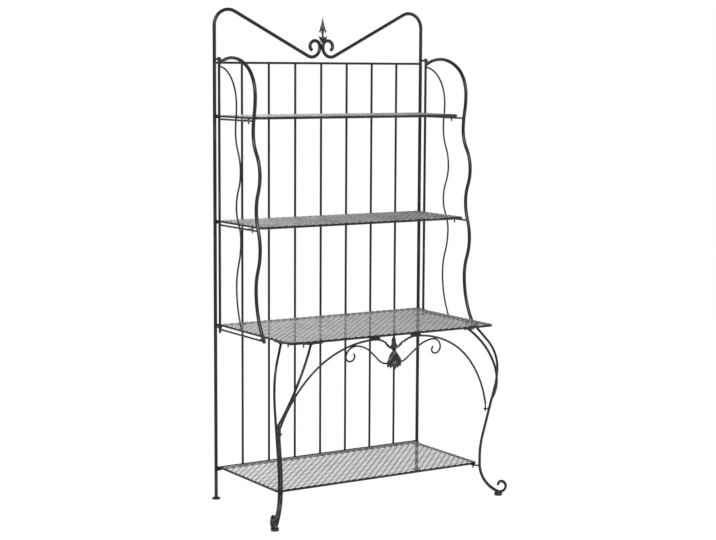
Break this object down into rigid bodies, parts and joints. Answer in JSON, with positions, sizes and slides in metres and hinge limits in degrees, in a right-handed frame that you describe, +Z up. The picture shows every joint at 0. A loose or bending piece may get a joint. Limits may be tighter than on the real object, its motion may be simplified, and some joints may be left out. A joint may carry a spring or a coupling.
{
  "type": "folding plant stand",
  "caption": "Tall metal plant stand: barred back with a scrolled crest, swinging wavy side frames, fold-up mesh shelves, and a lift-off front of curved legs and scrolled apron.",
  "frame": {"origin": "on the floor, under the middle of the bounding box", "axes": "+Z up, the back frame faces +Y and the front of the stand faces -Y, +X to the right seen from the front"},
  "size_m": [0.9638, 0.532, 1.706],
  "materials": {
    "dark_pewter_paint": "satin",
    "dark_pewter_casting": "satin",
    "dark_pewter_mesh": "satin",
    "black_plastic": "matt"
  },
  "bodies": {
    "back_frame": {"back_post_left": "dark_pewter_paint", "back_post_right": "dark_pewter_paint", "top_rail": "dark_pewter_paint", "bottom_rail": "dark_pewter_paint", "back_bars": "dark_pewter_paint", "spear_finial": "dark_pewter_casting", "rear_feet": "black_plastic", "side_hinge_eyes": "dark_pewter_paint", "shelf_eyes": "dark_pewter_paint"},
    "side_frame_left": {"side_left_hinge_tube": "dark_pewter_paint", "side_left_front_tube": "dark_pewter_paint", "side_left_inner_rod": "dark_pewter_paint", "side_left_arms": "dark_pewter_paint", "side_left_lugs": "dark_pewter_paint", "side_left_tube_caps": "black_plastic"},
    "side_frame_right": {"side_right_hinge_tube": "dark_pewter_paint", "side_right_front_tube": "dark_pewter_paint", "side_right_inner_rod": "dark_pewter_paint", "side_right_arms": "dark_pewter_paint", "side_right_lugs": "dark_pewter_paint", "side_right_tube_caps": "black_plastic"},
    "top_shelf": {"top_shelf_rim": "dark_pewter_paint", "top_shelf_mesh": "dark_pewter_mesh", "top_shelf_pegs": "dark_pewter_paint"},
    "middle_shelf": {"middle_shelf_rim": "dark_pewter_paint", "middle_shelf_mesh": "dark_pewter_mesh", "middle_shelf_pegs": "dark_pewter_paint"},
    "desk": {"desk_rim": "dark_pewter_paint", "desk_mesh": "dark_pewter_mesh", "desk_side_pegs": "dark_pewter_paint", "desk_corner_bars": "dark_pewter_paint", "desk_leg_pegs": "dark_pewter_paint"},
    "bottom_shelf": {"bottom_shelf_rim": "dark_pewter_paint", "bottom_shelf_mesh": "dark_pewter_mesh", "bottom_shelf_pegs": "dark_pewter_paint"},
    "leg_frame": {"leg_left_outer_rod": "dark_pewter_paint", "leg_left_inner_rod": "dark_pewter_paint", "leg_left_top_plate": "dark_pewter_paint", "leg_right_outer_rod": "dark_pewter_paint", "leg_right_inner_rod": "dark_pewter_paint", "leg_right_top_plate": "dark_pewter_paint", "leg_shelf_tabs": "dark_pewter_paint", "leg_arch_tabs": "dark_pewter_paint", "leg_foot_pads": "black_plastic", "apron_arch_left": "dark_pewter_paint", "apron_arch_right": "dark_pewter_paint", "apron_scroll_left": "dark_pewter_paint", "apron_scroll_right": "dark_pewter_paint", "apron_leaf": "dark_pewter_casting", "apron_rim_plates": "dark_pewter_paint", "apron_end_pins": "dark_pewter_paint"}
  },
  "joints": [
    {"name": "side_left_swing", "type": "hinge", "parent": "back_frame", "child": "side_frame_left", "pos_m": [-0.425, 0.21742, 1], "axis": [0, 0, -1], "range_deg": [0, 140]},
    {"name": "side_right_swing", "type": "hinge", "parent": "back_frame", "child": "side_frame_right", "pos_m": [0.425, 0.21742, 1], "axis": [0, 0, 1], "range_deg": [0, 140]},
    {"name": "top_shelf_fold", "type": "hinge", "parent": "back_frame", "child": "top_shelf", "pos_m": [0, 0.24052, 1.337], "axis": [-1, 0, 0], "range_deg": [0, 85]},
    {"name": "middle_shelf_fold", "type": "hinge", "parent": "back_frame", "child": "middle_shelf", "pos_m": [0, 0.24052, 0.976], "axis": [-1, 0, 0], "range_deg": [0, 84]},
    {"name": "desk_fold", "type": "hinge", "parent": "back_frame", "child": "desk", "pos_m": [0, 0.24052, 0.615], "axis": [-1, 0, 0], "range_deg": [0, 84]},
    {"name": "bottom_shelf_fold", "type": "hinge", "parent": "back_frame", "child": "bottom_shelf", "pos_m": [0, 0.24052, 0.109], "axis": [-1, 0, 0], "range_deg": [0, 85]},
    {"name": "leg_frame_lift", "type": "slide", "parent": "back_frame", "child": "leg_frame", "axis": [0, 0, 1], "range_m": [-0.018, 0]}
  ],
  "couplings": [
    {"joint": "middle_shelf_fold", "follows": "desk_fold", "ratio": 1}
  ]
}
